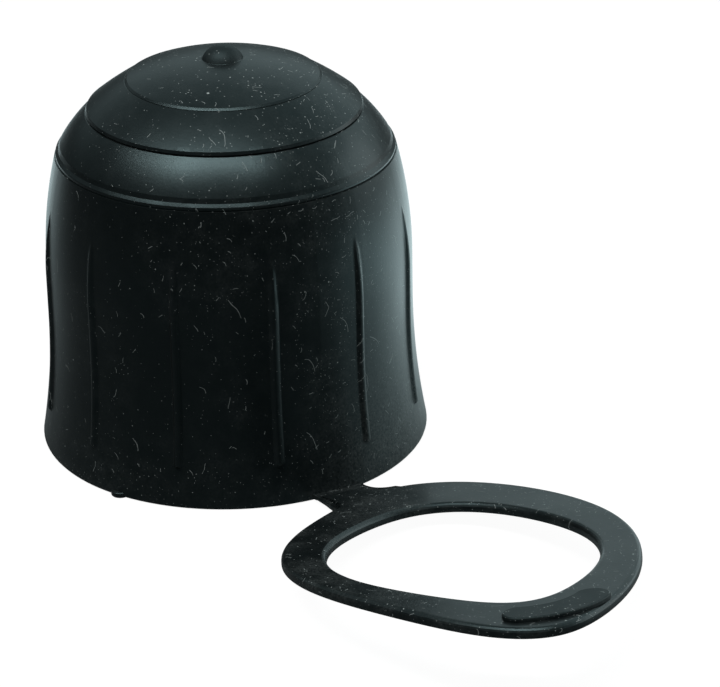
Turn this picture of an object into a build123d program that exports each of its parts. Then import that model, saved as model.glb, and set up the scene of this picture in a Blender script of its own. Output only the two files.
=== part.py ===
from build123d import *
import math
import os

# A push-on tow ball cover: one rubber moulding with a ball cup, a short neck and a retaining loop.
# The origin is the centre of the ball, +Z points up out of the dome and +X runs along the loop.
# All lengths are in millimetres and all angles in degrees.

# The tow ball and the room round it
ball_diameter = 50.0
ball_clearance = 0.25
ball_headroom = 0.5
ball_height = 33.0

# The cup's wall
wall = 3.7
land_drop = 16.0
waist_drop = 10.0
shoulder_drop = 3.0
rim_flare = 2.2
rim_wall = 3.4
rim_edge = 0.6

# The stepped dome, whose rings lie on one sphere round the ball's centre
dome_wall = 5.2
cap_angle = 30.3
tier_angle = 45.4
shoulder_angle = 58.9
cap_rise = 2.85
cap_riser = 0.4
tier_riser = 0.73
shoulder_riser = 0.7
tier_bulge = 0.2
riser_lean = 30.0
riser_edge = 0.18
shoulder_edge = 0.8
ledge_width = 0.42
ledge_drop = 0.45
ledge_root = 0.2
ledge_edge = 0.35

# The nub on top of the dome
nub_radius = 3.2
nub_height = 2.05
nub_root = 0.6

# The grip ribs on the cup's side
rib_count = 12
rib_radius = 0.7
rib_proud = 0.52
rib_top = 7.5
rib_foot = 7.2

# The moulding nib on the rim
nib_angle = -64.6
nib_radius = 1.5
nib_proud = 0.5
nib_height = 0.9

# The neck and the loop
strap_thickness = 1.55
strap_sink = 0.57
strap_edge = 0.6
neck_length = 4.7
neck_width = 9.2
neck_offset = 1.4
neck_fillet = 2.4
neck_root = 1.2
neck_thickness = 0.7
neck_slope = 4.5
loop_length = 72.6
loop_width = 49.7
loop_taper = 0.217
hole_taper = 0.13
loop_swell = 0.091
egg_points = 16
band_end = 11.1
band_side = 5.8
loop_turn = -12.7
loop_lift = 11.1
loop_twist = 3.1

# The grip pad at the loop's far end
pad_length = 11.3
pad_width = 4.1
pad_height = 0.7
pad_bend = 13.0
pad_offset = 2.0
pad_edge = 0.3

# Sizes that follow from the ones above
bore_radius = ball_diameter / 2 + ball_clearance
body_radius = bore_radius + wall
dome_radius = bore_radius + dome_wall
rim_radius = body_radius + rim_flare
foot = -ball_height
waist = -waist_drop
shoulder = -shoulder_drop
loop_place = Pos(neck_length + loop_length / 2, 0) * Rot(Z=loop_turn)


def on_dome(angle):
    """A point of the dome's sphere, by its angle from the cup's axis."""
    turn = math.radians(angle)
    return Vector(dome_radius * math.sin(turn), dome_radius * math.cos(turn))


def riser_top(crease, height):
    """The upper edge of a leaning riser that stands on a crease."""
    return crease + Vector(-height * math.tan(math.radians(riser_lean)), height)


def arc_offset(span, radius):
    """How far an arc has left its tangent after running along it for a span."""
    return radius - math.sqrt(radius**2 - span**2)


def arc_radius(span, offset):
    """The radius of the arc that leaves its tangent by an offset over a span."""
    return (span**2 + offset**2) / (2 * offset)


# Corners of the dome's outline, from the top ring down to the ledge
cap_crease = on_dome(cap_angle)
cap_edge = riser_top(cap_crease, cap_riser)
tier_crease = on_dome(tier_angle)
tier_edge = riser_top(tier_crease, tier_riser)
shoulder_crease = on_dome(shoulder_angle)
shoulder_top = riser_top(shoulder_crease, shoulder_riser)
ledge = shoulder_crease + Vector(ledge_width, -ledge_drop)
apex = cap_edge.Y + cap_rise
cap_radius = arc_radius(cap_edge.X, cap_rise)

# Radii of the two long arcs of the cup's side
flare_radius = arc_radius(waist - foot, rim_flare)
shoulder_radius = arc_radius(ledge.Y - shoulder, body_radius - ledge.X)


def cup_outline():
    """The cup's section beside its axis: the stepped outside, the rim and the hollow."""
    nub_foot = Vector(nub_radius, apex - arc_offset(nub_radius, cap_radius))
    nub_tip = Vector(0, apex + nub_height)
    rim_outer = Vector(rim_radius, foot)
    rim_inner = Vector(rim_radius - rim_wall, foot)
    land_end = Vector(bore_radius, -land_drop)
    land_top = Vector(bore_radius, ball_headroom)
    hollow_top = Vector(0, ball_headroom + bore_radius)
    outline = [
        TangentArc(nub_tip, nub_foot, tangent=(1, 0)),
        RadiusArc(nub_foot, cap_edge, cap_radius),
        Line(cap_edge, cap_crease),
        SagittaArc(cap_crease, tier_edge, tier_bulge),
        Line(tier_edge, tier_crease),
        SagittaArc(tier_crease, shoulder_top, tier_bulge),
        Line(shoulder_top, shoulder_crease),
        Line(shoulder_crease, ledge),
        RadiusArc(ledge, (body_radius, shoulder), shoulder_radius),
        Line((body_radius, shoulder), (body_radius, waist)),
        TangentArc((body_radius, waist), rim_outer, tangent=(0, -1)),
        Line(rim_outer, rim_inner),
        TangentArc(land_end, rim_inner, tangent=(0, -1)),
        Line(land_end, land_top),
        TangentArc(land_top, hollow_top, tangent=(0, 1)),
        Line(hollow_top, nub_tip),
    ]
    section = make_face(outline)
    rounded = (
        (nub_foot, nub_root),
        (cap_edge, riser_edge),
        (tier_edge, riser_edge),
        (shoulder_top, shoulder_edge),
        (shoulder_crease, ledge_root),
        (ledge, ledge_edge),
        (rim_outer, rim_edge),
        (rim_inner, rim_edge),
    )
    for corner, radius in rounded:
        section = fillet(section.vertices().sort_by_distance(corner)[0], radius)
    return section


def rib():
    """One grip rib: a round bar that follows the cup's side and sinks into it at its upper end."""
    line_radius = body_radius + rib_proud - rib_radius
    lower_span = waist - foot - rib_foot
    lower_end = (line_radius + arc_offset(lower_span, flare_radius), foot + rib_foot)
    top_radius = body_radius - arc_offset(rib_top - shoulder, shoulder_radius) - rib_radius
    path = Curve() + [
        TangentArc((line_radius, waist), lower_end, tangent=(0, -1)),
        Line((line_radius, waist), (line_radius, shoulder)),
        TangentArc((line_radius, shoulder), (top_radius, rib_top), tangent=(0, 1)),
    ]
    path = Plane.XZ * path
    start = path @ 0
    bar = sweep(Plane(start, z_dir=path % 0) * Circle(rib_radius), path=path)
    return bar + Pos(Plane.XZ.from_local_coords(Vector(*lower_end))) * Sphere(rib_radius)


def egg_outline(length, width, taper):
    """An egg-shaped closed outline about the loop's centre, with its wide end towards the neck."""
    points = []
    for place in range(egg_points):
        turn = 2 * math.pi * place / egg_points
        fullness = 1 - taper * math.cos(turn) - loop_swell * math.cos(2 * turn)
        half_width = width / 2 / (1 + loop_swell) * fullness
        points.append((length / 2 * math.cos(turn), half_width * math.sin(turn)))
    return loop_place * make_face(Spline(points, periodic=True))


def loop():
    """The neck, the loop and its pad, flat on their own plane, with the rim's edge at the origin."""
    neck_end = neck_length + band_end / 2
    neck = Pos((neck_end - neck_root) / 2, neck_offset) * Rectangle(neck_end + neck_root, neck_width)
    plate = egg_outline(loop_length, loop_width, loop_taper) + neck
    corners = plate.vertices().filter_by(lambda v: 0 < v.X < neck_end)
    plate = fillet(corners, neck_fillet)
    plate -= egg_outline(loop_length - 2 * band_end, loop_width - 2 * band_side, hole_taper)
    strap = extrude(plate, strap_thickness)
    rims = strap.faces().sort_by(Axis.Z)[-1].edges().filter_by(lambda e: e.center().X > 0)
    strap = fillet(rims, strap_edge)
    strap -= neck_relief()
    return strap + Pos(0, 0, strap_thickness) * pad()


def neck_relief():
    """The space under the neck, which is thin at the rim and thickens towards the loop."""
    depth = strap_thickness - neck_thickness
    slope_start = neck_length - neck_slope / 2
    slope_end = neck_length + neck_slope / 2
    root_end = -neck_root - depth
    side = Polyline((root_end, 0), (root_end, depth), (slope_start, depth), (slope_end, 0), close=True)
    return extrude(Plane.XZ * make_face(side), loop_width / 2, both=True)


def pad():
    """The raised grip pad, a bent bar with round ends across the loop's far band."""
    middle = (loop_length - band_end) / 2
    half_turn = math.degrees(pad_length / pad_bend / 2)
    lean = math.degrees(pad_offset / pad_bend)
    line = CenterArc((middle - pad_bend, 0), pad_bend, lean - half_turn, 2 * half_turn)
    bar = extrude(SlotArc(line, pad_width), pad_height)
    return loop_place * fillet(bar.faces().sort_by(Axis.Z)[-1].edges(), pad_edge)


def nib():
    """The small flash nib that the mould left on the rim."""
    reach = rim_radius + nib_proud - nib_radius
    peg = extrude(Circle(nib_radius), nib_height)
    return Rot(Z=nib_angle) * Pos(reach, 0, foot) * peg


cup = revolve(Plane.XZ * cup_outline(), Axis.Z)
rib_turns = [Rot(Z=(turn + 0.5) * 360 / rib_count) for turn in range(rib_count)]
ribs = [turn * rib() for turn in rib_turns]
strap_place = Pos(rim_radius, 0, foot - strap_sink) * Rot(Y=-loop_lift) * Rot(X=-loop_twist)
strap = split(strap_place * loop(), Plane.XY.offset(foot), keep=Keep.TOP)
cover = cup + ribs + nib() + strap

os.makedirs("parts", exist_ok=True)
export_step(cover, "parts/cover.step")
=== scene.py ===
import logging
import math
from dataclasses import dataclass, field
from enum import Enum
from functools import reduce

import bmesh
import bpy
from bmesh.types import BMEdge, BMesh, BMVert
from bpy.types import ID, Material, Mesh, Node, Object, World
from bpy.types import NodeSocket as Socket
from mathutils import Matrix, Vector


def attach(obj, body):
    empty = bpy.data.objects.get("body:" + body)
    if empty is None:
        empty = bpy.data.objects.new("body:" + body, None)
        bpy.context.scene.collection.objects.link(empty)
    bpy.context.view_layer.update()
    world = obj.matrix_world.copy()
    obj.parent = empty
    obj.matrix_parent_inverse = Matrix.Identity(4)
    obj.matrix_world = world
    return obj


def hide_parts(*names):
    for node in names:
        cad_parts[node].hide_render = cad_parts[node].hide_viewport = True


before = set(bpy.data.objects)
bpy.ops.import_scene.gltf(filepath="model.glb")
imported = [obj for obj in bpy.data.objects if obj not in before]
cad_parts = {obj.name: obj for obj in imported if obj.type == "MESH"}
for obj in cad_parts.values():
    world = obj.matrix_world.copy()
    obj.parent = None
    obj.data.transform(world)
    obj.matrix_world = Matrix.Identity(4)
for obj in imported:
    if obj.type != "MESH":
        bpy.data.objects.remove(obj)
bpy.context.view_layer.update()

# A tow ball cover on white paper: one rubber moulding with its dust, and the photograph's studio.
# The moulding's sizes are in millimetres until its finished mesh is scaled to metres.
# Its finish and the studio are in metres, and all angles are in degrees.
METRE = 0.001
# Points closer than this are one point
SEAM = 1e-5
LOG = logging.getLogger("tow_ball_cover")

Span = tuple[float, float]
Place = tuple[float, float, float]
Colour = tuple[float, float, float, float]


class Corner(Enum):
    """How many pieces a rounded corner or edge is divided into."""

    FINE = 3
    EVEN = 4
    SMOOTH = 5


def arc_radius(span: float, offset: float) -> float:
    """Give the radius of the arc that leaves its tangent by an offset over a span."""
    return (span**2 + offset**2) / (2 * offset)


def arc_offset(span: float, radius: float) -> float:
    """Give how far an arc has left its tangent after running along it for a span."""
    return radius - math.sqrt(radius**2 - span**2)


def turned(angle: float, axis: str) -> Matrix:
    """Give the turn by an angle about an axis."""
    return Matrix.Rotation(math.radians(angle), 4, axis)


def points(geometry: list) -> list[BMVert]:
    """Pick the points out of what a mesh operator gives."""
    return [part for part in geometry if isinstance(part, BMVert)]


def round_off(mesh: BMesh, geometry: list, size: float, corner: Corner, affect: str = "EDGES") -> None:
    """Round a mesh's edges or single points by a size, as finely as a corner says."""
    shape = {"offset": size, "segments": corner.value, "profile": 0.5, "affect": affect}
    bmesh.ops.bevel(mesh, geom=geometry, material=-1, **shape)


def thicken(mesh: BMesh, height: float) -> None:
    """Grow a flat mesh upwards into a plate."""
    grown = bmesh.ops.extrude_face_region(mesh, geom=list(mesh.faces), use_keep_orig=True)
    bmesh.ops.translate(mesh, verts=points(grown["geom"]), vec=(0.0, 0.0, height))


def to_data(name: str, mesh: BMesh) -> Mesh:
    """Turn a working mesh into mesh data and free it.

    Args:
        name: The data's name.
        mesh: The working mesh.

    Returns:
        The mesh data.
    """
    data = bpy.data.meshes.new(name)
    mesh.to_mesh(data)
    mesh.free()
    return data


def put(name: str, data: ID) -> Object:
    """Put a mesh, a lamp or a camera into the scene.

    Args:
        name: The object's name.
        data: What the object shows.

    Returns:
        The object.
    """
    made = bpy.data.objects.new(name, data)
    bpy.context.scene.collection.objects.link(made)
    return made


@dataclass
class Section:
    """A wire drawn through the cup's half section, X out from the axis and Z up."""

    mesh: BMesh
    tip: BMVert
    corners: list[tuple[BMVert, float, Corner]] = field(default_factory=list)

    def reached(self) -> Vector:
        """Give the point reached so far, as (x, z)."""
        return Vector((self.tip.co.x, self.tip.co.z))

    def line(self, end: Vector, steps: int = 1) -> None:
        """Run straight to a point.

        Args:
            end: The point, as (x, z).
            steps: How many pieces the line has.
        """
        start = self.reached()
        for step in range(1, steps + 1):
            place = start.lerp(end, step / steps)
            self.tip = bmesh.ops.extrude_vert_indiv(self.mesh, verts=[self.tip])["verts"][0]
            self.tip.co = (place.x, 0.0, place.y)

    def arc(self, end: Vector, bulge: float, steps: int) -> None:
        """Run along an arc to a point.

        Args:
            end: The point, as (x, z).
            bulge: The arc's height over its chord, positive to the left of the way.
            steps: How many pieces the arc has.
        """
        start = self.reached()
        chord = end - start
        left = Vector((-chord.y, chord.x)).normalized()
        centre = (start + end) / 2 + left * (bulge - arc_radius(chord.length / 2, bulge))
        a, b = start - centre, end - centre
        spun = bmesh.ops.spin(
            self.mesh,
            geom=[self.tip],
            cent=(centre.x, 0.0, centre.y),
            axis=(0.0, 1.0, 0.0),
            angle=math.atan2(a.y * b.x - a.x * b.y, a.dot(b)),
            steps=steps,
        )
        self.tip = points(spun["geom_last"])[0]
        self.tip.co = (end.x, 0.0, end.y)

    def curve(self, end: Vector, heading: Vector, steps: int) -> None:
        """Run along the arc that leaves in a direction and reaches a point, both as (x, z)."""
        self.arc(end, self.bulge(end - self.reached(), heading), steps)

    @staticmethod
    def bulge(chord: Vector, heading: Vector) -> float:
        """Give the height over a chord of the arc that leaves the chord's start in a direction."""
        turn = math.atan2(chord.x * heading.y - chord.y * heading.x, chord.dot(heading))
        return chord.length / 2 * math.tan(turn / 2)

    def mark(self, radius: float, corner: Corner) -> None:
        """Remember the point just reached as a corner to round."""
        self.corners.append((self.tip, radius, corner))

    def round_corners(self) -> None:
        """Round every marked corner to an arc of its radius."""
        for vert, radius, corner in self.corners:
            ways = [(e.other_vert(vert).co - vert.co).normalized() for e in vert.link_edges]
            opening = ways[0].angle(ways[1])
            round_off(self.mesh, [vert], radius / math.tan(opening / 2), corner, "VERTICES")


@dataclass
class Cup:
    """The ball cup: the stepped dome with its nub, the ribbed side, the flared rim and the hollow."""

    bore_radius: float = 25.25
    body_radius: float = 28.95
    dome_radius: float = 30.45
    foot: float = -33.0
    waist: float = -10.0
    shoulder: float = -3.0
    land_end: float = -16.0
    land_top: float = 0.5
    rim_flare: float = 2.2
    rim_wall: float = 3.4
    rim_edge: float = 0.6
    cap_angle: float = 30.3
    tier_angle: float = 45.4
    shoulder_angle: float = 58.9
    cap_rise: float = 2.83
    cap_riser: float = 0.42
    tier_riser: float = 0.76
    shoulder_riser: float = 0.7
    tier_bulge: float = 0.13
    shoulder_bulge: float = 0.22
    riser_lean: float = 23.0
    cap_lean: float = 47.0
    riser_edge: float = 0.14
    shoulder_edge: float = 0.8
    ledge_width: float = 0.46
    ledge_drop: float = 0.52
    ledge_root: float = 0.2
    ledge_edge: float = 0.3
    ledge_face: float = 0.35
    groove_depth: float = 0.2
    groove_height: float = 0.28
    groove_slope: float = 0.05
    fine_groove: float = 0.10
    nub_radius: float = 3.2
    nub_height: float = 2.05
    nub_root: float = 0.15
    nub_steps: int = 10
    cap_steps: int = 14
    tier_steps: int = 9
    mouth_steps: int = 8
    land_steps: int = 2
    crown_steps: int = 14
    rib_count: int = 12
    rib_radius: float = 0.7
    rib_proud: float = 0.52
    rib_top: float = 7.5
    rib_foot: float = -25.8
    rib_root: float = 0.25
    rib_sector: float = 5.6
    rib_top_span: Span = (9.0, 5.5)
    rib_foot_span: Span = (-24.6, -27.0)
    fine_steps: int = 14
    coarse_steps: int = 4

    def rim_radius(self) -> float:
        """Give the rim's outside radius."""
        return self.body_radius + self.rim_flare

    def on_dome(self, angle: float) -> Vector:
        """Give the point (x, z) of the dome's sphere at an angle from the axis."""
        turn = math.radians(angle)
        return Vector((math.sin(turn), math.cos(turn))) * self.dome_radius

    def riser_top(self, crease: Vector, height: float, lean: float) -> Vector:
        """Give the upper edge (x, z) of a riser that stands on a crease and leans back by an angle."""
        return crease + Vector((-height * math.tan(math.radians(lean)), height))

    def draw_section(self) -> BMesh:
        """Draw the half section from the nub's tip, down the outside and up the hollow.

        Returns:
            A mesh that holds the closed section as one wire.
        """
        cap_crease = self.on_dome(self.cap_angle)
        cap_edge = self.riser_top(cap_crease, self.cap_riser, self.cap_lean)
        tier_crease = self.on_dome(self.tier_angle)
        tier_edge = self.riser_top(tier_crease, self.tier_riser, self.riser_lean)
        shoulder_crease = self.on_dome(self.shoulder_angle)
        shoulder_top = self.riser_top(shoulder_crease, self.shoulder_riser, self.riser_lean)
        ledge = shoulder_crease + Vector((self.ledge_width, -self.ledge_drop))
        apex = cap_edge.y + self.cap_rise
        cap_radius = arc_radius(cap_edge.x, self.cap_rise)
        nub_foot = Vector((self.nub_radius, apex - arc_offset(self.nub_radius, cap_radius)))
        cap_bulge = arc_offset((cap_edge - nub_foot).length / 2, cap_radius)
        down = Vector((0.0, -1.0))

        mesh = bmesh.new()
        tip = bmesh.ops.create_vert(mesh, co=(0.0, 0.0, apex + self.nub_height))["vert"][0]
        section = Section(mesh, tip)
        section.curve(nub_foot, Vector((1.0, 0.0)), self.nub_steps)
        section.mark(self.nub_root, Corner.SMOOTH)
        section.arc(cap_edge, cap_bulge, self.cap_steps)
        section.mark(self.riser_edge / 2, Corner.FINE)
        lip = self.riser_top(cap_crease, self.fine_groove, self.cap_lean)
        self.cut_groove(section, lip, cap_crease, self.fine_groove)
        section.arc(tier_edge, self.tier_bulge, self.tier_steps)
        section.mark(self.riser_edge, Corner.FINE)
        lip = self.riser_top(tier_crease, self.groove_height, self.riser_lean)
        self.cut_groove(section, lip, tier_crease, self.groove_depth)
        section.arc(shoulder_top, self.shoulder_bulge, self.tier_steps)
        section.mark(self.shoulder_edge, Corner.SMOOTH)
        section.line(shoulder_crease)
        section.mark(self.ledge_root, Corner.FINE)
        section.line(ledge)
        section.mark(self.ledge_edge, Corner.SMOOTH)
        side_top = ledge.y - self.ledge_face - self.groove_height
        side_start = Vector((self.side_radius(side_top, ledge), side_top))
        self.cut_groove(section, ledge + down * self.ledge_face, side_start, self.fine_groove)
        self.draw_side(section, ledge)
        section.mark(self.rim_edge, Corner.SMOOTH)
        section.line(Vector((self.rim_radius() - self.rim_wall, self.foot)))
        section.mark(self.rim_edge, Corner.SMOOTH)
        self.draw_hollow(section, down)
        section.round_corners()
        return mesh

    def cut_groove(self, section: Section, lip: Vector, end: Vector, depth: float) -> None:
        """Draw the fine groove that ends a step.

        Args:
            section: The wire, drawn as far as the step.
            lip: The groove's upper lip, as (x, z).
            end: Its lower end, as (x, z).
            depth: How deep it is.
        """
        section.line(lip)
        section.line(Vector((min(lip.x, end.x) - depth, end.y + self.groove_slope)))
        section.line(end)

    def draw_side(self, section: Section, ledge: Vector) -> None:
        """Draw the cup's side from under the ledge to the rim, closest together at the ribs' ends.

        Args:
            section: The wire, drawn as far as the groove under the ledge.
            ledge: The ledge's edge, as (x, z).
        """
        stops = (
            (self.rib_top_span[0], 6),
            (self.rib_top_span[1], 9),
            (self.shoulder, 9),
            (self.waist, 4),
            (self.rib_foot_span[0], 10),
            (self.rib_foot_span[1], 12),
            (self.foot, 5),
        )
        high = section.reached().y
        for low, steps in stops:
            for step in range(1, steps + 1):
                z = high + (low - high) * step / steps
                section.line(Vector((self.side_radius(z, ledge), z)))
            high = low

    def side_radius(self, z: float, ledge: Vector) -> float:
        """Give the radius of the cup's side without its ribs.

        Args:
            z: The height on the cup.
            ledge: The ledge's edge, as (x, z).

        Returns:
            The radius.
        """
        if z > self.shoulder:
            inset = self.body_radius - ledge.x
            bend = arc_radius(ledge.y - self.shoulder, inset)
            return self.body_radius - arc_offset(z - self.shoulder, bend)
        if z < self.waist:
            bend = arc_radius(self.waist - self.foot, self.rim_flare)
            return self.body_radius + arc_offset(self.waist - z, bend)
        return self.body_radius

    def draw_hollow(self, section: Section, down: Vector) -> None:
        """Draw the hollow from the rim's inner edge: flared mouth, straight land and round crown.

        Args:
            section: The wire, drawn as far as the rim's inner edge.
            down: The way down the axis, as (x, z).
        """
        land_low = Vector((self.bore_radius, self.land_end))
        mouth_bulge = section.bulge(section.reached() - land_low, down)
        section.arc(land_low, -mouth_bulge, self.mouth_steps)
        section.line(Vector((self.bore_radius, self.land_top)), self.land_steps)
        section.curve(Vector((0.0, self.land_top + self.bore_radius)), -down, self.crown_steps)

    def rib_height(self, z: float) -> float:
        """Give how far a rib stands out of the cup's side.

        Args:
            z: The height on the cup.

        Returns:
            The rib's height there.
        """
        if z > self.rib_top or z < self.rib_foot - self.rib_radius:
            return 0.0
        if z > self.shoulder:
            return self.rib_proud * (1 - ((z - self.shoulder) / (self.rib_top - self.shoulder)) ** 2)
        if z < self.rib_foot:
            return max(0.0, self.rib_proud - arc_offset(self.rib_foot - z, self.rib_radius))
        return self.rib_proud

    def raise_ribs(self, mesh: BMesh) -> None:
        """Lift the cup's side into round-backed ribs whose feet run out softly.

        Args:
            mesh: The cup without its ribs.
        """
        pitch = 2 * math.pi / self.rib_count
        low, high = self.rib_foot - self.rib_radius, self.rib_top
        mid_wall = (self.bore_radius + self.body_radius) / 2
        for vert in mesh.verts:
            reach = math.hypot(vert.co.x, vert.co.y)
            if reach < mid_wall or not low < vert.co.z < high:
                continue
            angle = math.atan2(vert.co.y, vert.co.x) % pitch - pitch / 2
            across = abs(angle) * reach
            proud = self.rib_height(vert.co.z)
            crown = self.rib_radius
            half = math.sqrt(max(0.0, crown**2 - (crown - proud) ** 2))
            back = math.sqrt(max(0.0, crown**2 - min(across, crown) ** 2)) - (crown - proud)
            skirt = max(0.0, 1 - max(0.0, across - half + self.rib_root) / (2 * self.rib_root))
            lift = max(back, min(proud, self.rib_root) * skirt**2)
            if lift > 0.0 and proud > 0.0:
                vert.co.x *= 1 + lift / reach
                vert.co.y *= 1 + lift / reach

    def build(self) -> BMesh:
        """Turn the section about the axis and raise the ribs.

        Returns:
            The cup as one closed shell.
        """
        mesh = self.draw_section()
        plain = ((360.0 / self.rib_count - self.rib_sector) / 2, self.coarse_steps)
        ribbed = (self.rib_sector, self.fine_steps)
        profile = list(mesh.verts) + list(mesh.edges)
        for angle, steps in (plain, ribbed, plain) * self.rib_count:
            turn = {"cent": (0.0, 0.0, 0.0), "axis": (0.0, 0.0, 1.0), "angle": math.radians(angle)}
            profile = bmesh.ops.spin(mesh, geom=profile, steps=steps, **turn)["geom_last"]
        bmesh.ops.remove_doubles(mesh, verts=mesh.verts, dist=SEAM)
        self.raise_ribs(mesh)
        bmesh.ops.recalc_face_normals(mesh, faces=mesh.faces)
        return mesh


@dataclass
class Nib:
    """The small flash nib that the mould left at the foot of the rim."""

    angle: float = -64.6
    radius: float = 1.5
    proud: float = 0.5
    height: float = 0.9
    edge: float = 0.2
    segments: int = 32

    def build(self, cup: Cup) -> BMesh:
        """Make the nib's round peg at its place on the rim.

        Args:
            cup: The cup that it stands on.

        Returns:
            The peg as one closed shell.
        """
        mesh = bmesh.new()
        size = {"radius1": self.radius, "radius2": self.radius, "depth": self.height}
        bmesh.ops.create_cone(mesh, cap_ends=True, segments=self.segments, **size)
        rims = [e for e in mesh.edges if e.verts[0].co.z * e.verts[1].co.z > 0]
        round_off(mesh, rims, self.edge, Corner.FINE)
        reach = cup.rim_radius() + self.proud - self.radius
        place = Matrix.Translation((reach, 0.0, cup.foot + self.height / 2))
        bmesh.ops.transform(mesh, verts=mesh.verts, matrix=turned(self.angle, "Z") @ place)
        return mesh


@dataclass(frozen=True)
class Wave:
    """A wave in a ring of soft rubber: how many crests it has, its height and the angle of its phase."""

    crests: int
    height: float
    phase: float

    def at(self, turn: float) -> float:
        """Give how far the wave lifts the ring outwards at an angle on it, in radians."""
        return self.height * math.cos(self.crests * turn - math.radians(self.phase))


@dataclass
class Loop:
    """The retaining loop on its short neck, drawn flat on its own plane and then lifted into place."""

    thickness: float = 1.55
    sink: float = 0.57
    edge: float = 0.95
    foot_edge: float = 0.2
    neck_length: float = 4.7
    neck_width: float = 9.2
    neck_offset: float = 1.4
    neck_flare: Span = (1.55, 3.6)
    neck_root: float = 1.2
    neck_thickness: float = 0.7
    neck_slope: float = 4.5
    neck_steps: int = 8
    root_steps: int = 3
    length: float = 71.9
    width: float = 49.7
    taper: float = 0.217
    hole_taper: float = 0.13
    swell: float = 0.091
    band_end: float = 11.1
    band_side: float = 5.8
    turn: float = -12.7
    lift: float = 11.1
    twist: float = 3.1
    segments: int = 240
    ring_steps: Span = (-0.01, 0.01)
    outer_swell: float = 0.3
    outer_waves: tuple[Wave, ...] = (
        Wave(1, 0.5, 75.0), Wave(2, 0.7, -70.0), Wave(3, 0.45, 100.0),
        Wave(4, 0.6, -60.0), Wave(5, 0.25, -160.0),
    )
    hole_swell: float = -0.35
    hole_waves: tuple[Wave, ...] = (
        Wave(1, 0.2, -165.0), Wave(2, 0.3, 105.0), Wave(3, 0.35, 90.0), Wave(4, 0.4, -60.0),
    )
    upright: float = 0.5
    pad_reach: float = 31.6
    pad_length: float = 12.4
    pad_width: float = 4.9
    pad_height: float = 0.7
    pad_bend: float = 11.5
    pad_offset: float = 2.75
    pad_edge: float = 0.3
    pad_segments: int = 40
    pad_cuts: int = 16

    def place(self) -> Matrix:
        """Give the loop's place on the strap's plane, with the rim's edge at the origin."""
        return Matrix.Translation((self.neck_length + self.length / 2, 0.0, 0.0)) @ turned(self.turn, "Z")

    def stand(self, cup: Cup) -> Matrix:
        """Give the strap's place on the cup's rim, where it is lifted and twisted."""
        shift = Matrix.Translation((cup.rim_radius(), 0.0, cup.foot - self.sink))
        return shift @ turned(-self.lift, "Y") @ turned(-self.twist, "X")

    def egg_point(self, turn: float, size: Span, taper: float) -> Vector:
        """Give a point of a plain egg that is wide towards the neck.

        Args:
            turn: The point's angle on the egg, in radians.
            size: The egg's length and its width at the middle.
            taper: How much its wide end is fuller than its far end.

        Returns:
            The point.
        """
        fullness = 1 - taper * math.cos(turn) - self.swell * math.cos(2 * turn)
        half_width = size[1] / 2 / (1 + self.swell) * fullness
        return Vector((size[0] / 2 * math.cos(turn), half_width * math.sin(turn), 0.0))

    def draw_ring(
        self, mesh: BMesh, size: Span, taper: float, swell: float, waves: tuple[Wave, ...]
    ) -> list[BMEdge]:
        """Draw one of the loop's rings: an egg, which the soft rubber leaves here and there.

        Args:
            mesh: The mesh that gets the ring.
            size: The ring's length and its width at the middle.
            taper: How much its wide end is fuller than its far end.
            swell: How far the ring lies outside the egg all round.
            waves: How it leaves the egg from there.

        Returns:
            The ring's edges.
        """
        made = bmesh.ops.create_circle(mesh, cap_ends=False, segments=self.segments, radius=1.0)
        for vert in made["verts"]:
            turn = math.atan2(vert.co.y, vert.co.x)
            before, after = (self.egg_point(turn + step, size, taper) for step in self.ring_steps)
            along = after - before
            outward = Vector((along.y, -along.x, 0.0)).normalized()
            off = swell + sum(wave.at(turn) for wave in waves)
            vert.co = self.egg_point(turn, size, taper) + outward * off
        bmesh.ops.transform(mesh, verts=made["verts"], matrix=self.place())
        return list(dict.fromkeys(e for v in made["verts"] for e in v.link_edges))

    def flare(self, near: list[BMVert], side: float, run: float) -> tuple[Vector, Vector, Vector]:
        """Give the curve from the loop's near side into a side of the neck.

        Args:
            near: The loop's near points, in order across the neck.
            side: The Y of the neck's side.
            run: How far the curve runs along the neck.

        Returns:
            The curve's start, corner and end.
        """
        at_first = abs(near[0].co.y - side) < abs(near[-1].co.y - side)
        start, inside = (near[0].co, near[2].co) if at_first else (near[-1].co, near[-3].co)
        way = inside - start
        corner = start + way * ((side - start.y) / way.y)
        return start.copy(), corner, corner - Vector((run, 0.0, 0.0))

    def draw_neck(self, mesh: BMesh, outer: list[BMEdge]) -> None:
        """Draw the neck from the loop's near side to its root, with a soft flare each side.

        Args:
            mesh: The mesh that holds the loop.
            outer: The edges of the loop's outer ring.
        """
        low, high = self.neck_offset - self.neck_width / 2, self.neck_offset + self.neck_width / 2
        low_run, high_run = self.neck_flare
        first, last = low - low_run, high + high_run
        near_end = self.length / 4
        strip = [e for e in outer if all(v.co.x < near_end and first < v.co.y < last for v in e.verts)]
        near = sorted({v for e in strip for v in e.verts}, key=lambda v: v.co.y)
        ends = (self.flare(near, low, low_run), self.flare(near, high, high_run))
        share, bow = mesh.verts.layers.float["share"], mesh.verts.layers.float["bow"]
        for vert in near:
            vert[share] = (vert.co.y - near[0].co.y) / (near[-1].co.y - near[0].co.y)
            vert[bow] = vert.co.x - ends[0][0].lerp(ends[1][0], vert[share]).x
        for step in range(1, self.neck_steps + self.root_steps + 1):
            grown = bmesh.ops.extrude_edge_only(mesh, edges=strip)["geom"]
            strip = [g for g in grown if isinstance(g, BMEdge)]
            away = min(1.0, step / self.neck_steps)
            sides = [a.lerp(b, away).lerp(b.lerp(c, away), away) for a, b, c in ends]
            rest = max(0.0, (step - self.neck_steps) / self.root_steps)
            for vert in points(grown):
                spot = sides[0].lerp(sides[1], vert[share])
                spot.x += vert[bow] * (1 - away)
                spot.x += (-self.neck_root - spot.x) * rest
                vert.co = spot

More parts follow.
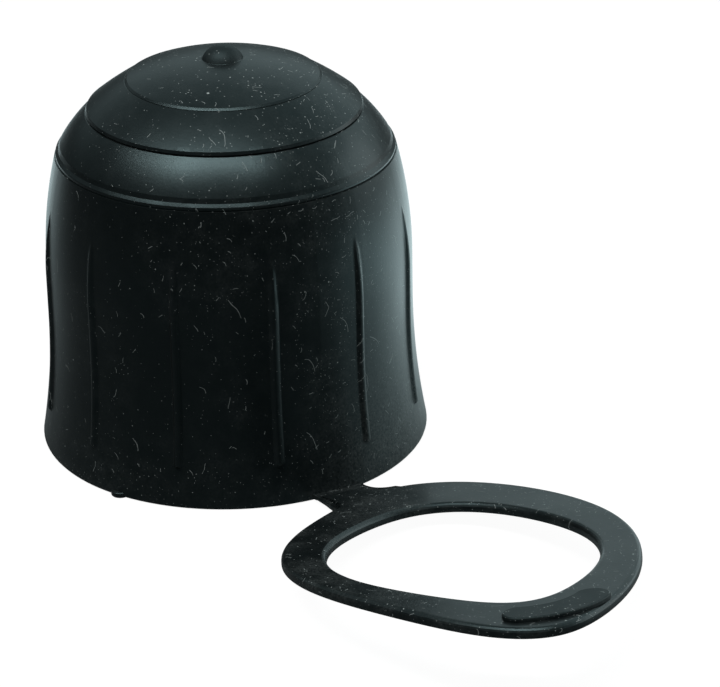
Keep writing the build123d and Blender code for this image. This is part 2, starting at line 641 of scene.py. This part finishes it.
    def thin_neck(self, mesh: BMesh) -> None:
        """Raise the neck's underside, so that it is thin at the rim and thickens towards the loop.

        Args:
            mesh: The plate of the neck and the loop.
        """
        depth = self.thickness - self.neck_thickness
        slope_end = self.neck_length + self.neck_slope / 2
        for vert in mesh.verts:
            lower = depth * min(1.0, max(0.0, (slope_end - vert.co.x) / self.neck_slope))
            vert.co.z = lower + vert.co.z * (self.thickness - lower) / self.thickness

    def build_band(self) -> BMesh:
        """Make the neck and the loop as one plate with rounded edges.

        Returns:
            The plate as one closed shell, flat on its own plane.
        """
        mesh = bmesh.new()
        for name in ("share", "bow"):
            mesh.verts.layers.float.new(name)
        size = (self.length, self.width)
        outer = self.draw_ring(mesh, size, self.taper, self.outer_swell, self.outer_waves)
        hole_size = (self.length - 2 * self.band_end, self.width - 2 * self.band_side)
        hole = self.draw_ring(mesh, hole_size, self.hole_taper, self.hole_swell, self.hole_waves)
        bmesh.ops.bridge_loops(mesh, edges=outer + hole)
        self.draw_neck(mesh, outer)
        thicken(mesh, self.thickness)
        bmesh.ops.recalc_face_normals(mesh, faces=mesh.faces)
        edges = ((self.thickness, self.edge, Corner.SMOOTH), (0.0, self.foot_edge, Corner.FINE))
        for level, reach, corner in edges:
            round_off(mesh, [e for e in mesh.edges if self.is_rim(e, level)], reach, corner)
        self.thin_neck(mesh)
        return mesh

    def is_rim(self, edge: BMEdge, level: float) -> bool:
        """Tell whether an edge runs round the plate at a level, away from the neck's hidden end."""
        flat = all(abs(v.co.z - level) <= SEAM <= v.co.x + self.neck_root for v in edge.verts)
        return flat and any(abs(f.normal.z) < self.upright for f in edge.link_faces)

    def build_pad(self) -> BMesh:
        """Make the raised grip pad, a bent bar with round ends across the loop's far band.

        Returns:
            The pad as one closed shell on the loop's own plane.
        """
        mesh = bmesh.new()
        radius = self.pad_width / 2
        made = bmesh.ops.create_circle(mesh, cap_ends=False, segments=self.pad_segments, radius=radius)
        for vert in made["verts"]:
            vert.co.y += math.copysign(self.pad_length / 2, vert.co.y)
        sides = [e for e in mesh.edges if e.calc_length() > self.pad_length / 2]
        bmesh.ops.subdivide_edges(mesh, edges=sides, cuts=self.pad_cuts)
        bmesh.ops.contextual_create(mesh, geom=list(mesh.edges))
        thicken(mesh, self.pad_height)
        rims = [e for e in mesh.edges if all(v.co.z > self.pad_height / 2 for v in e.verts)]
        round_off(mesh, rims, self.pad_edge, Corner.EVEN)
        for vert in mesh.verts:
            lean = (vert.co.y + self.pad_offset) / self.pad_bend
            arm = self.pad_bend + vert.co.x
            vert.co.x = self.pad_reach - self.pad_bend + arm * math.cos(lean)
            vert.co.y = arm * math.sin(lean)
            vert.co.z += self.thickness
        bmesh.ops.transform(mesh, verts=mesh.verts, matrix=self.place())
        bmesh.ops.recalc_face_normals(mesh, faces=mesh.faces)
        return mesh

    def build(self, cup: Cup) -> list[BMesh]:
        """Make the loop and the pad at their place on the rim.

        Args:
            cup: The cup that the loop grows out of.

        Returns:
            The closed shells of the loop and the pad.
        """
        shells = [self.build_band(), self.build_pad()]
        for shell in shells:
            bmesh.ops.transform(shell, verts=shell.verts, matrix=self.stand(cup))
            for vert in shell.verts:
                vert.co.z = max(vert.co.z, cup.foot)
        return shells


class Bench:
    """A bench on which the nodes of one material or world are laid out and joined."""

    def __init__(self, owner: Material | World, space: str) -> None:
        """Clear the owner's nodes and look up the place or direction that they start from.

        Args:
            owner: The material or world that gets the nodes.
            space: The kind of coordinates.
        """
        owner.use_nodes = True
        self.tree = owner.node_tree
        self.tree.nodes.clear()
        self.place = self.add("ShaderNodeTexCoord").outputs[space]

    def add(self, kind: str, settings: dict | None = None, sockets: dict | None = None) -> Node:
        """Add a node, set its properties and fill its sockets.

        Args:
            kind: The node's type name.
            settings: Values of the node's own properties.
            sockets: What each named or numbered input gets, a value or another node's output.

        Returns:
            The new node.
        """
        node = self.tree.nodes.new(kind)
        for name, value in (settings or {}).items():
            setattr(node, name, value)
        for name, value in (sockets or {}).items():
            if isinstance(value, Socket):
                self.tree.links.new(value, node.inputs[name])
            else:
                node.inputs[name].default_value = value
        return node

    def maths(self, operation: str, *values: object, clamp: bool = False) -> Socket:
        """Work a sum on numbers or outputs and give its output."""
        settings = {"operation": operation, "use_clamp": clamp}
        return self.add("ShaderNodeMath", settings, dict(enumerate(values))).outputs[0]

    def product(self, *values: object) -> Socket:
        """Multiply numbers or outputs and give the output."""
        return reduce(lambda whole, value: self.maths("MULTIPLY", whole, value), values)

    def most(self, *values: object) -> Socket:
        """Give the greatest of numbers or outputs."""
        return reduce(lambda whole, value: self.maths("MAXIMUM", whole, value), values)

    def vector(self, operation: str, *values: object, output: str = "Vector") -> Socket:
        """Work a sum on vectors and give one of its outputs."""
        node = self.add("ShaderNodeVectorMath", {"operation": operation}, dict(enumerate(values)))
        return node.outputs[output]

    def measure(self, operation: str, *values: object) -> Socket:
        """Work a sum on vectors whose result is a number."""
        return self.vector(operation, *values, output="Value")

    def along(self, way: Place) -> Socket:
        """Give how far the place lies along a way."""
        return self.measure("DOT_PRODUCT", self.place, way)

    def height(self, vector: Socket) -> Socket:
        """Give the Z of a vector."""
        return self.add("ShaderNodeSeparateXYZ", None, {"Vector": vector}).outputs["Z"]

    def ramp(self, value: Socket, span: Span, ends: Span = (0.0, 1.0), style: str = "LINEAR") -> Socket:
        """Ramp a value from one end to the other over a span."""
        sockets = dict(enumerate((value, *span, *ends)))
        return self.add("ShaderNodeMapRange", {"interpolation_type": style}, sockets).outputs[0]

    def band(self, value: Socket, low: float, high: float) -> Socket:
        """Ramp a value smoothly from 0 at low to 1 at high."""
        return self.ramp(value, (low, high), style="SMOOTHSTEP")

    def mix(self, share: Socket, first: object, second: object) -> Socket:
        """Mix two colours, which a mix node takes on its sockets 6 and 7 and gives on output 2."""
        sockets = {"Factor": share, 6: first, 7: second}
        return self.add("ShaderNodeMix", {"data_type": "RGBA"}, sockets).outputs[2]

    def noise(self, scale: float, detail: float = 3.0, output: str = "Fac") -> Socket:
        """Add an even noise over the place and give one of its outputs."""
        sockets = {"Vector": self.place, "Scale": scale, "Detail": detail}
        return self.add("ShaderNodeTexNoise", None, sockets).outputs[output]

    def cells(self, place: Socket, scale: float) -> tuple[Socket, Socket, list[Socket]]:
        """Divide a place into cells.

        Args:
            place: The place.
            scale: The cells to a metre.

        Returns:
            A cell's middle, its colour and the colour's three parts.
        """
        sockets = {"Vector": place, "Scale": scale}
        made = self.add("ShaderNodeTexVoronoi", {"feature": "F1"}, sockets).outputs
        parts = self.add("ShaderNodeSeparateColor", None, {"Color": made["Color"]}).outputs
        return made["Position"], made["Color"], list(parts)

    def seen(self) -> Socket:
        """Give 1 where the camera looks at the set, and 0 where the set lights the rubber."""
        path = self.add("ShaderNodeLightPath").outputs
        return self.most(path["Is Camera Ray"], path["Is Transmission Ray"])


@dataclass(frozen=True)
class Speck:
    """One size of dust grain: cells to a metre, size, share of the cells that hold one, and strength."""

    scale: float
    size: float
    share: float
    strength: float


@dataclass(frozen=True)
class Fibre:
    """One size of lint: cells to a metre, length, width, share of the cells that hold one, and strength."""

    scale: float
    length: float
    width: float
    share: float
    strength: float


@dataclass(frozen=True)
class Dust:
    """The dust on the rubber: a thin film, a haze in places, pale specks and curly lint. On the flare the
    haze also paints a sheen, brighter towards the edge on the camera's right.
    """

    # A pair named base holds a least value and what a noise or a chance adds to it
    colour: Colour = (0.42, 0.46, 0.45, 1.0)
    specks: tuple[Speck, ...] = (
        Speck(2200.0, 0.00007, 0.90, 0.6),
        Speck(1300.0, 0.00009, 0.70, 0.75),
        Speck(560.0, 0.00013, 0.28, 0.9),
    )
    grain_base: Span = (0.25, 0.35)
    grain_fade: float = 2.0
    stray_share: float = 0.12
    level_span: Span = (0.6, 1.0)
    level_growth: float = 0.8
    level_thinning: float = 0.7
    fibres: tuple[Fibre, ...] = (
        Fibre(170.0, 0.0034, 0.00006, 0.30, 0.70),
        Fibre(300.0, 0.0018, 0.00006, 0.50, 0.70),
        Fibre(480.0, 0.0009, 0.00006, 0.75, 0.75),
    )
    curl_scale: float = 1.6
    curl: float = 0.45
    bow: float = 0.7
    film: float = 0.045
    film_mottle: Span = (0.25, 0.75)
    film_grain: Span = (0.20, 0.75)
    side_way: Place = (0.50, 0.87, 0.25)
    side_scale: float = 60.0
    side_play: float = 0.05
    loop_side: Span = (0.0, 0.055)
    other_side: Span = (0.006, -0.008)
    other_share: float = 0.65
    rim_span: Span = (-0.030, -0.044)
    rim_share: float = 0.9
    rim_scale: float = 90.0
    rim_play: float = 0.022
    patch_scale: float = 130.0
    patch_span: Span = (0.40, 0.66)
    patch_base: Span = (0.55, 0.9)
    # The haze: dust, and on the flare also a painted sheen that grows towards the edge on the camera's
    # right
    haze_and_sheen_way: Place = (0.46, 0.89, 0.0)
    haze_and_sheen_base: Span = (0.6, 0.8)
    flare_dust_and_sheen: float = 0.12
    flare_drop: Span = (-0.006, -0.028)
    flare_side: Span = (0.008, 0.029)
    loop_haze: float = 0.06
    loop_near: Span = (0.045, 0.012)
    smudge_scale: float = 150.0
    smudge_span: Span = (0.42, 0.62)


@dataclass(frozen=True)
class RubberFinish:
    """Satin black moulded rubber, a little dusty, with a more matt grip pad and nub."""

    name: str = "black_rubber"
    colour: Colour = (0.003, 0.004, 0.0042, 1.0)
    worn_colour: Colour = (0.0056, 0.0074, 0.0077, 1.0)
    gloss_tint: Colour = (0.70, 1.0, 1.03, 1.0)
    specular: float = 0.42
    roughness: float = 0.34
    roughness_play: float = 0.05
    dust_roughness: float = 0.4
    matt_roughness: float = 0.22
    loop_start: Span = (0.0325, 0.0350)
    pad_fade: Span = (-0.0002, 0.0001)
    nub_span: Span = (0.0295, 0.0297)
    cloud_scale: float = 55.0
    mottle_scale: float = 420.0
    grain_scale: float = 2600.0
    grain_depth: float = 0.0001
    wave_scale: float = 70.0
    wave_depth: float = 0.0015
    bump: float = 0.10
    dust: Dust = field(default_factory=Dust)


class RubberBench(Bench):
    """The bench on which the rubber's finish is laid out over the place on the cover."""

    def __init__(self, finish: RubberFinish) -> None:
        """Start the rubber's material, with the noises that several of its layers share.

        Args:
            finish: The rubber's finish.
        """
        self.made = bpy.data.materials.new(finish.name)
        super().__init__(self.made, "Object")
        self.finish = finish
        self.dust = finish.dust
        self.skin = self.add("ShaderNodeNewGeometry").outputs["Normal"]
        self.mottle = self.noise(finish.mottle_scale)
        self.grain = self.noise(finish.grain_scale, 2.0)

    def material(self, cup: Cup, loop: Loop) -> Material:
        """Lay out the rubber's nodes.

        Args:
            cup: The cup, which the loop's place follows from.
            loop: The loop, whose pad is matt.

        Returns:
            The material.
        """
        finish = self.finish
        cover = self.dust_cover()
        tint = self.mix(self.mottle, finish.colour, finish.worn_colour)
        tint = self.mix(cover, tint, self.dust.colour)
        gloss = (finish.roughness - finish.roughness_play, finish.roughness + finish.roughness_play)
        patch = self.ramp(self.noise(finish.cloud_scale), (0.0, 1.0), gloss)
        patch = self.maths("MULTIPLY_ADD", self.matt(cup, loop), finish.matt_roughness, patch)
        dull = self.maths("MULTIPLY_ADD", cover, finish.dust_roughness, patch, clamp=True)
        wave = self.noise(finish.wave_scale, 1.0)
        bump = {"Strength": finish.bump, "Distance": finish.wave_depth, "Height": wave}
        swell = self.add("ShaderNodeBump", None, bump).outputs[0]
        bump |= {"Distance": finish.grain_depth, "Height": self.grain, "Normal": swell}
        skin = self.add("ShaderNodeBump", None, bump).outputs[0]
        sockets = {
            "Base Color": tint,
            "Roughness": dull,
            "Specular IOR Level": finish.specular,
            "Specular Tint": finish.gloss_tint,
            "Normal": skin,
        }
        shader = self.add("ShaderNodeBsdfPrincipled", None, sockets)
        self.add("ShaderNodeOutputMaterial", None, {"Surface": shader.outputs[0]})
        return self.made

    def matt(self, cup: Cup, loop: Loop) -> Socket:
        """Tell the matt places, which are the loop's grip pad and the dome's nub, from the rest.

        Args:
            cup: The cup, which the loop's place follows from.
            loop: The loop with its pad.

        Returns:
            1 on the matt places and 0 elsewhere.
        """
        stand = loop.stand(cup)
        normal = stand.col[2].to_3d()
        middle = stand @ Vector((0.0, 0.0, loop.thickness + loop.pad_height / 2))
        start, end = (middle.dot(normal) * METRE + fade for fade in self.finish.pad_fade)
        pad = self.product(self.band(self.along(normal), start, end), self.on_loop())
        return self.most(pad, self.band(self.height(self.place), *self.finish.nub_span))

    def on_loop(self) -> Socket:
        """Give 1 on the loop, which lies outside the cup's rim, and 0 on the cup."""
        flat = self.vector("MULTIPLY", self.place, (1.0, 1.0, 0.0))
        return self.band(self.measure("LENGTH", flat), *self.finish.loop_start)

    def dust_cover(self) -> Socket:
        """Lay the film, the haze with its painted sheen, the specks and the lint over each other.

        Returns:
            How much of the rubber they cover.
        """
        settled, snagged = self.settled()
        film = self.product(self.band(self.mottle, *self.dust.film_mottle), settled, self.dust.film)
        # The haze adds painted sheen on the flare as well as dust
        film = self.maths("ADD", film, self.haze_and_sheen())
        film = self.product(film, self.band(self.grain, *self.dust.film_grain))
        litter = self.most(self.specks(settled), self.lint(snagged))
        return self.maths("MAXIMUM", film, litter, clamp=True)

    def settled(self) -> tuple[Socket, Socket]:
        """Give how much dust has settled: most on the loop's side, less on the rim and on the other flank.

        Returns:
            The share of dust and the share of lint, from 0 to 1. The rim has dust and no lint.
        """
        dust = self.dust
        side = self.along(dust.side_way)
        side = self.maths("MULTIPLY_ADD", self.noise(dust.side_scale), dust.side_play, side)
        other = self.product(self.band(side, *dust.other_side), dust.other_share)
        flanks = self.most(self.band(side, *dust.loop_side), other)
        ragged = self.noise(dust.rim_scale)
        low = self.maths("MULTIPLY_ADD", ragged, -dust.rim_play, self.height(self.place))
        rim = self.product(self.band(low, *dust.rim_span), dust.rim_share)
        patches = self.band(self.noise(dust.patch_scale), *dust.patch_span)
        clump = self.maths("MULTIPLY_ADD", patches, dust.patch_base[1], dust.patch_base[0])
        specked = self.maths("MULTIPLY", self.most(flanks, rim), clump, clamp=True)
        return specked, self.maths("MULTIPLY", flanks, clump, clamp=True)

    def haze_and_sheen(self) -> Socket:
        """Lay the thicker film of fine dust on the loop's near side, and on the cup's flare a pale film
        that is partly dust and partly painted sheen, brighter towards the edge on the camera's right.

        Returns:
            How much of the rubber it covers.
        """
        dust = self.dust
        side = self.along(dust.haze_and_sheen_way)
        on_loop = self.on_loop()
        on_cup = self.maths("SUBTRACT", dust.flare_dust_and_sheen, on_loop, clamp=True)
        dropped = self.band(self.height(self.place), *dust.flare_drop)
        # Partly a dust film and partly painted sheen: pale on the flare, rising towards the edge on the
        # camera's right
        flare = self.product(dropped, self.band(side, *dust.flare_side), on_cup)
        smudge = self.band(self.noise(dust.smudge_scale, 2.0), *dust.smudge_span)
        smudge = self.product(smudge, dust.loop_haze, on_loop, self.band(side, *dust.loop_near))
        uneven = self.maths("MULTIPLY_ADD", self.mottle, dust.haze_and_sheen_base[1], dust.haze_and_sheen_base[0])
        return self.product(self.maths("ADD", flare, smudge), uneven)

    def specks(self, settled: Socket) -> Socket:
        """Give the pale specks: round grains of dust, fewer but larger where they lie flat.

        Args:
            settled: The share of dust.

        Returns:
            How much of the rubber the specks cover.
        """
        dust = self.dust
        level = self.band(self.height(self.skin), *dust.level_span)
        bulk = self.maths("MULTIPLY_ADD", level, dust.level_growth, 1.0)
        sparse = self.maths("MULTIPLY_ADD", level, -dust.level_thinning, 1.0)
        layers = []
        for speck in dust.specks:
            middle, _, chances = self.cells(self.place, speck.scale)
            gap = self.measure("DISTANCE", middle, self.place)
            limit = self.maths("MULTIPLY_ADD", settled, speck.share, speck.share * dust.stray_share)
            shown = self.maths("LESS_THAN", chances[0], self.product(limit, sparse))
            small, spread = (speck.size * part for part in dust.grain_base)
            radius = self.product(self.maths("MULTIPLY_ADD", chances[1], spread, small), bulk)
            away = self.maths("DIVIDE", gap, radius)
            grain = self.maths("SUBTRACT", dust.grain_fade, away, clamp=True)
            layers.append(self.product(shown, grain, speck.strength))
        return self.most(*layers)

    def lint(self, snagged: Socket) -> Socket:
        """Give the lint: short curled fibres, one to a cell, where a thin bent sheet cuts the surface.

        Args:
            snagged: The share of lint.

        Returns:
            How much of the rubber the fibres cover.
        """
        dust = self.dust
        half = (0.5, 0.5, 0.5)
        layers = []
        for fibre in dust.fibres:
            wobble = self.noise(fibre.scale * dust.curl_scale, 1.0, "Color")
            curl = self.vector("SUBTRACT", wobble, half)
            curl = self.vector("MULTIPLY", curl, (dust.curl * fibre.length,) * 3)
            bent = self.vector("ADD", self.place, curl)
            middle, colour, chances = self.cells(bent, fibre.scale)
            offset = self.vector("SUBTRACT", bent, middle)
            facing = self.vector("CROSS_PRODUCT", self.vector("SUBTRACT", colour, half), self.skin)
            height = self.measure("DOT_PRODUCT", offset, self.vector("NORMALIZE", facing))
            gap = self.measure("LENGTH", offset)
            bow = self.product(gap, gap, self.product(chances[0], dust.bow / fibre.length))
            off = self.maths("ABSOLUTE", self.maths("SUBTRACT", height, bow))
            line = self.maths("SUBTRACT", 1.0, self.maths("DIVIDE", off, fibre.width), clamp=True)
            within = self.maths("LESS_THAN", gap, fibre.length / 2)
            shown = self.maths("LESS_THAN", chances[2], self.product(snagged, fibre.share))
            layers.append(self.product(line, within, shown, fibre.strength))
        return self.most(*layers)


@dataclass
class Cover:
    """The whole tow ball cover: one rubber moulding made of the cup, its nib and the loop."""

    cup: Cup = field(default_factory=Cup)
    nib: Nib = field(default_factory=Nib)
    loop: Loop = field(default_factory=Loop)
    finish: RubberFinish = field(default_factory=RubberFinish)
    crease: float = 16.0

    def build(self) -> Object:
        """Join the shells to one moulding and give it to the frame in the CAD cover's place.

        Returns:
            The finished piece.
        """
        whole = bmesh.new()
        for shell in [self.cup.build(), self.nib.build(self.cup), *self.loop.build(self.cup)]:
            mesh = to_data("shell", shell)
            whole.from_mesh(mesh)
            bpy.data.meshes.remove(mesh)
        bmesh.ops.scale(whole, verts=whole.verts, vec=(METRE, METRE, METRE))
        for face in whole.faces:
            face.smooth = True
        for edge in whole.edges:
            edge.smooth = edge.calc_face_angle(0.0) < math.radians(self.crease)
        piece = put("cover_moulding", to_data("cover_moulding", whole))
        piece.data.materials.append(RubberBench(self.finish).material(self.cup, self.loop))
        even = piece.modifiers.new("even_normals", "WEIGHTED_NORMAL")
        even.keep_sharp = True
        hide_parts("cover")
        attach(piece, "root")
        return piece


@dataclass(frozen=True)
class Lamp:
    """One soft lamp: its place and aim as seen from the camera's side, its size and its watts."""

    name: str
    place: Place
    aim: Place
    size: Span
    power: float


@dataclass(frozen=True)
class Glow:
    """How the white set brightens to the rubber: from dim by a rise over a span, late by a power."""

    dim: float
    rise: float
    span: Span
    power: float


@dataclass
class Studio:
    """The white floor, the soft lamps, the pale surround and the camera of the photograph."""

    floor_level: float = -0.033
    floor_gap: float = 0.00002
    floor_size: float = 6.0
    floor_white: float = 0.96
    floor_colour: Colour = (0.10, 0.10, 0.10, 1.0)
    floor_glow: Glow = Glow(0.022, 1.95, (-0.06, 0.07), 3.0)
    floor_near: Span = (0.14, 0.30)
    floor_fall: Span = (1.0, 0.05)
    world_glow: Glow = Glow(0.05, 0.85, (-1.0, 1.0), 3.0)
    world_upper: Span = (0.07, 0.26)
    bright_side: float = 58.0
    white: Colour = (1.0, 1.0, 1.0, 1.0)
    cool: Colour = (0.80, 1.0, 1.03, 1.0)
    azimuth: float = 62.569
    camera_away: float = 0.450008
    camera_high: float = 0.220536
    yaw: float = 2.598
    pitch: float = 24.719
    roll: float = -0.997
    lens: float = 153.99
    sensor: float = 36.0
    lamps: tuple[Lamp, ...] = (
        Lamp("overhead", (-0.09, -0.255, 0.76), (-0.07, 0.0, 0.03), (0.72, 0.08), 3.2),
        Lamp("overhead_left", (-0.46, -0.115, 0.76), (-0.297, 0.137, 0.03), (0.57, 0.08), 1.7),
        Lamp("right", (0.60, 0.16, 0.20), (0.0, 0.0, 0.03), (0.40, 0.40), 0.7),
    )

    def to_frame(self, place: Place) -> Vector:
        """Turn a place as seen from the camera's side, over the floor, into the cover's frame."""
        return turned(self.azimuth, "Z") @ Vector(place) + Vector((0.0, 0.0, self.floor_level))

    def brightness(self, bench: Bench, glow: Glow) -> Socket:
        """Give how bright the white set shows in the rubber: brightest at the back on the right.

        Args:
            bench: The floor's or the world's bench.
            glow: How the set brightens.

        Returns:
            The brightness.
        """
        turn = math.radians(self.azimuth + self.bright_side)
        way = bench.along((math.cos(turn), math.sin(turn), 0.0))
        rise = bench.maths("POWER", bench.ramp(way, glow.span), glow.power)
        return bench.maths("MULTIPLY_ADD", rise, glow.rise, glow.dim)

    def lay_floor(self) -> None:
        """Lay the floor: white to the eye, and darker only where the cover shades it."""
        mesh = bmesh.new()
        bmesh.ops.create_grid(mesh, x_segments=1, y_segments=1, size=self.floor_size / 2)
        bmesh.ops.translate(mesh, verts=mesh.verts, vec=(0.0, 0.0, self.floor_level - self.floor_gap))
        floor = put("studio_floor", to_data("studio_floor", mesh))
        made = bpy.data.materials.new("white_paper")
        bench = Bench(made, "Object")
        seen = bench.seen()
        near = bench.ramp(bench.measure("LENGTH", bench.place), self.floor_near, self.floor_fall)
        lit = bench.product(self.brightness(bench, self.floor_glow), near)
        unseen = bench.product(bench.maths("SUBTRACT", 1.0, seen), lit)
        glow = bench.maths("MULTIPLY_ADD", seen, self.floor_white, unseen)
        colour = bench.mix(seen, self.cool, self.white)
        paper = bench.add("ShaderNodeBsdfDiffuse", None, {"Color": self.floor_colour})
        light = bench.add("ShaderNodeEmission", None, {"Color": colour, "Strength": glow})
        both = bench.add("ShaderNodeAddShader", None, {0: paper.outputs[0], 1: light.outputs[0]})
        bench.add("ShaderNodeOutputMaterial", None, {"Surface": both.outputs[0]})
        floor.data.materials.append(made)

    def light_world(self) -> None:
        """Make the surround white to the eye, and to the rubber a dim room, white at the back."""
        world = bpy.data.worlds.new("white_room")
        bpy.context.scene.world = world
        bench = Bench(world, "Generated")
        seen = bench.seen()
        upper = bench.ramp(bench.height(bench.place), self.world_upper)
        lit = bench.product(self.brightness(bench, self.world_glow), upper)
        colour = bench.mix(seen, self.cool, self.white)
        sockets = {"Color": colour, "Strength": bench.most(seen, lit)}
        sky = bench.add("ShaderNodeBackground", None, sockets)
        bench.add("ShaderNodeOutputWorld", None, {"Surface": sky.outputs[0]})

    def hang(self, lamp: Lamp) -> None:
        """Hang a soft lamp in the scene.

        Args:
            lamp: The lamp.
        """
        light = bpy.data.lights.new(lamp.name, "AREA")
        light.shape = "RECTANGLE"
        light.size, light.size_y = lamp.size
        light.energy = lamp.power
        hung = put(lamp.name, light)
        hung.location = self.to_frame(lamp.place)
        way = self.to_frame(lamp.aim) - self.to_frame(lamp.place)
        hung.rotation_euler = way.to_track_quat("-Z", "Y").to_euler()

    def set_camera(self) -> None:
        """Stand the camera where the photograph was taken from."""
        yaw, pitch, roll = (math.radians(a) for a in (self.yaw, self.pitch, self.roll))
        level = Vector((math.sin(yaw), math.cos(yaw), 0.0)) * math.cos(pitch)
        ahead = level - Vector((0.0, 0.0, math.sin(pitch)))
        right = Vector((math.cos(yaw), -math.sin(yaw), 0.0))
        up = right.cross(ahead)
        side = right * math.cos(roll) + up * math.sin(roll)
        top = up * math.cos(roll) - right * math.sin(roll)
        facing = Matrix((side, top, -ahead)).transposed().to_4x4()
        stand = Matrix.Translation((0.0, -self.camera_away, self.camera_high + self.floor_level))
        view = bpy.data.cameras.new("photo_camera")
        view.sensor_fit = "HORIZONTAL"
        view.sensor_width = self.sensor
        view.lens = self.lens
        camera = put("photo_camera", view)
        camera.matrix_world = turned(self.azimuth, "Z") @ stand @ facing
        bpy.context.scene.camera = camera

    def build(self) -> None:
        """Set up the whole studio."""
        self.lay_floor()
        self.light_world()
        for lamp in self.lamps:
            self.hang(lamp)
        self.set_camera()
        bpy.context.scene.view_settings.view_transform = "Standard"


def main() -> None:
    """Build the studio and the cover."""
    logging.basicConfig(level=logging.INFO)
    Studio().build()
    piece = Cover().build()
    LOG.info("%s: %d faces", piece.name, len(piece.data.polygons))


if __name__ == "__main__":
    main()
